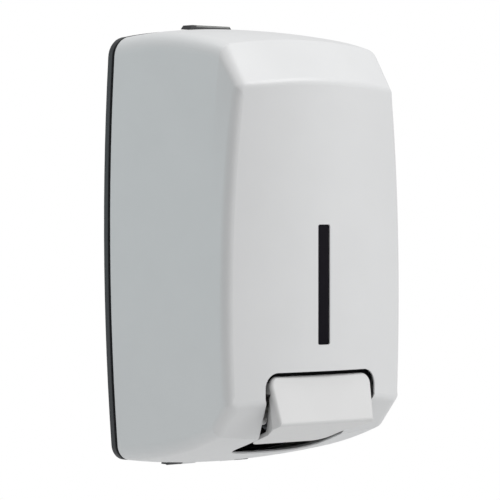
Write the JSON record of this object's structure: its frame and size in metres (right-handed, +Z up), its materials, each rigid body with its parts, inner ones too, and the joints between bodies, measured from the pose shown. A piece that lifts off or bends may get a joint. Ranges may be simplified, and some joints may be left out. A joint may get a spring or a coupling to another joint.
{
  "type": "wall mounted soap dispenser",
  "caption": "Upright wall mounted soap dispenser with a bowed hinged cover, push lever at the foot, level slit, key lock on top and a lift-out refillable tank with a piston pump.",
  "frame": {"origin": "centre of the wall face of the back plate", "axes": "+Z up, +Y into the wall, +X to the right as seen from the front"},
  "size_m": [0.15, 0.1136, 0.2644],
  "materials": {
    "cover_plastic": "satin moulded shell, fine grain",
    "lever_plastic": "satin moulded push lever",
    "base_plastic": "dark grey moulded plate",
    "bracket_plastic": "black moulded frame",
    "lock_plastic": "black moulded housing",
    "lock_metal": "fine brushed cover strip",
    "lens_plastic": "dark smoked window",
    "tank_plastic": "natural milky moulding",
    "cap_plastic": "satin moulded cap",
    "pump_plastic": "white moulded pump parts",
    "nut_plastic": "grey ribbed nut",
    "nozzle_plastic": "grey moulded tip",
    "seal_rubber": "soft black seal",
    "valve_rubber": "soft pale valve",
    "steel": "drawn stainless wire and pins",
    "screw_steel": "zinc plated screws",
    "barrel_brass": "turned key barrel",
    "cam_steel": "pressed cam"
  },
  "bodies": {
    "back": {"back_plate": "base_plastic", "lock_body": "lock_plastic", "lock_plate": "lock_metal", "lock_screws": "screw_steel", "hinge_pins": "steel"},
    "lock_core": {"lock_barrel": "barrel_brass", "lock_cam": "cam_steel", "cam_screw": "screw_steel"},
    "cover": {"front_cover": "cover_plastic", "window_lens": "lens_plastic", "lever_bracket": "bracket_plastic", "bracket_screws": "screw_steel", "lever_pin": "steel", "pin_clips": "steel"},
    "lever": {"push_lever": "lever_plastic"},
    "tank_unit": {"tank": "tank_plastic", "neck_gasket": "seal_rubber", "pump_body": "pump_plastic", "stem_guide": "pump_plastic", "union_nut": "nut_plastic", "return_spring": "steel"},
    "stem": {"pump_stem": "pump_plastic", "piston_seal": "seal_rubber", "outlet_valve": "valve_rubber", "nozzle_tip": "nozzle_plastic"},
    "ball": {"inlet_ball": "steel"},
    "cap": {"filler_cap": "cap_plastic", "cap_seal": "seal_rubber"}
  },
  "joints": [
    {"name": "lock_turn", "type": "hinge", "parent": "back", "child": "lock_core", "pos_m": [0, -0.0068, 0.112], "axis": [0, 0, -1], "range_deg": [0, 90]},
    {"name": "cover_swing", "type": "hinge", "parent": "back", "child": "cover", "pos_m": [0, -0.007, -0.1282], "axis": [1, 0, 0], "range_deg": [0, 95]},
    {"name": "lever_press", "type": "hinge", "parent": "cover", "child": "lever", "pos_m": [0, -0.0965, -0.067], "axis": [1, 0, 0], "range_deg": [0, 8], "stiffness_Nm_per_rad": 0.6, "springref_deg": -8.59},
    {"name": "tank_lift", "type": "slide", "parent": "back", "child": "tank_unit", "axis": [0, 0, 1], "range_m": [0, 0.012]},
    {"name": "stem_lift", "type": "slide", "parent": "tank_unit", "child": "stem", "axis": [0, 0, 1], "range_m": [0, 0.0048], "stiffness_N_per_m": 0.01, "springref_m": 5.1097, "deforming": ["return_spring"]},
    {"name": "ball_lift", "type": "slide", "parent": "tank_unit", "child": "ball", "axis": [0, 0, 1], "range_m": [0, 0.0016]},
    {"name": "cap_lift", "type": "slide", "parent": "tank_unit", "child": "cap", "axis": [0, 0, 1], "range_m": [0, 0.018]}
  ],
  "couplings": [
    {"joint": "stem_lift", "follows": "lever_press", "m_per_rad": 0.03377}
  ]
}
